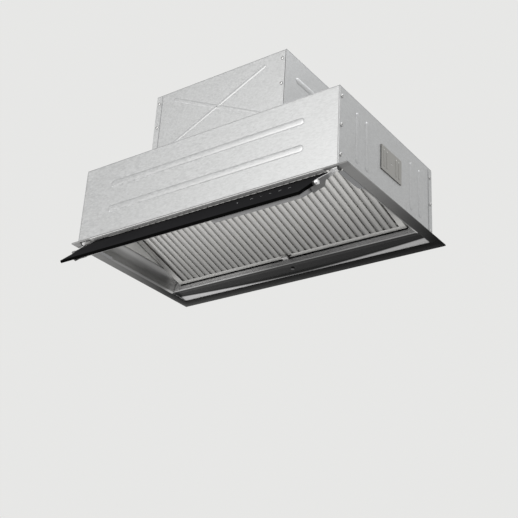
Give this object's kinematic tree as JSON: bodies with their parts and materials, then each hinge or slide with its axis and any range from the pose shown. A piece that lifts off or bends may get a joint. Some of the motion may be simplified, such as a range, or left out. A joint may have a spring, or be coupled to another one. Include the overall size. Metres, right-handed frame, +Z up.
{
  "type": "pull out range hood",
  "caption": "Built-in cabinet range hood with a swing-out black glass control flap, sloping baffle filter, blower and round duct collar.",
  "frame": {"origin": "centre of the underside, in the plane of the cabinet's lower edge", "axes": "+X to the right seen from the room, along the hood's width; +Y towards the wall; +Z up"},
  "size_m": [0.598, 0.4025, 0.4253],
  "materials": {
    "frame_steel": "fine brushed stainless, satin",
    "dark_steel": "dark satin sheet",
    "filter_steel": "warm grey satin stainless",
    "polished_steel": "polished",
    "zinc_sheet": "galvanised sheet, dull",
    "lamp_aluminium": "anodised, matt",
    "lamp_diffuser": "opal diffuser",
    "black_glass": "polished black glass, opaque",
    "grey_plastic": "fine spark-eroded grey",
    "black_plastic": "moulded black",
    "motor_casting": "plated can",
    "circuit_board": "green solder mask"
  },
  "bodies": {
    "hood": {"underframe": "frame_steel", "cheek_left": "frame_steel", "cheek_right": "frame_steel", "gusset_left": "frame_steel", "gusset_right": "frame_steel", "hinge_cover_left": "frame_steel", "hinge_cover_right": "frame_steel", "rear_tray": "dark_steel", "tray_screw": "polished_steel", "casing_side_left": "zinc_sheet", "casing_side_right": "zinc_sheet", "casing_front": "zinc_sheet", "casing_rear": "zinc_sheet", "casing_top": "zinc_sheet", "motor_box_left": "zinc_sheet", "motor_box_right": "zinc_sheet", "motor_box_front": "zinc_sheet", "motor_box_rear": "zinc_sheet", "motor_box_top": "zinc_sheet", "front_panel": "frame_steel", "filter_ledge": "frame_steel", "lamp_bar": "lamp_aluminium", "lamp_lens": "lamp_diffuser", "pivot_pin_left": "polished_steel", "pivot_pin_right": "polished_steel", "pivot_ear_left": "polished_steel", "pivot_ear_right": "polished_steel", "flap_sensor": "black_plastic", "scroll_band": "zinc_sheet", "scroll_side_left": "zinc_sheet", "scroll_side_right": "zinc_sheet", "motor": "motor_casting", "motor_bracket": "zinc_sheet", "duct_collar": "black_plastic", "damper_axle": "polished_steel", "control_unit": "black_plastic", "control_unit_lid": "black_plastic", "power_board": "circuit_board", "cable_gland": "black_plastic", "gland_nut": "black_plastic", "side_clamp_left": "zinc_sheet", "side_clamp_right": "zinc_sheet", "clamp_screw_left": "polished_steel", "clamp_screw_right": "polished_steel"},
    "flap": {"flap_glass": "black_glass", "flap_carrier": "dark_steel", "control_housing": "grey_plastic", "control_board": "circuit_board", "arm_left": "polished_steel", "arm_right": "polished_steel", "clamp_stud_left": "polished_steel", "clamp_stud_right": "polished_steel"},
    "filter": {"filter_frame": "filter_steel", "filter_face": "filter_steel", "filter_baffles": "filter_steel"},
    "latch": {"filter_latch": "polished_steel"},
    "wheel": {"blower_wheel": "black_plastic"},
    "front_damper": {"damper_front": "black_plastic"},
    "rear_damper": {"damper_rear": "black_plastic"}
  },
  "joints": [
    {"name": "flap_hinge", "type": "hinge", "parent": "hood", "child": "flap", "pos_m": [0, -0.16, 0.001], "axis": [1, 0, 0], "range_deg": [0, 136.8]},
    {"name": "filter_hinge", "type": "hinge", "parent": "hood", "child": "filter", "pos_m": [0, -0.1261, 0.07704], "axis": [1, 0, 0], "range_deg": [-35, 0]},
    {"name": "latch_slide", "type": "slide", "parent": "filter", "child": "latch", "axis": [0, -0.9641, 0.2656], "range_m": [0, 0.005], "stiffness_N_per_m": 600},
    {"name": "wheel_spin", "type": "hinge", "parent": "hood", "child": "wheel", "pos_m": [0, -0.025, 0.186], "axis": [1, 0, 0], "continuous": true},
    {"name": "front_damper_hinge", "type": "hinge", "parent": "hood", "child": "front_damper", "pos_m": [0, 0.052, 0.2947], "axis": [-1, 0, 0], "range_deg": [0, 75]},
    {"name": "rear_damper_hinge", "type": "hinge", "parent": "hood", "child": "rear_damper", "pos_m": [0, 0.052, 0.2947], "axis": [1, 0, 0], "range_deg": [0, 75]}
  ]
}
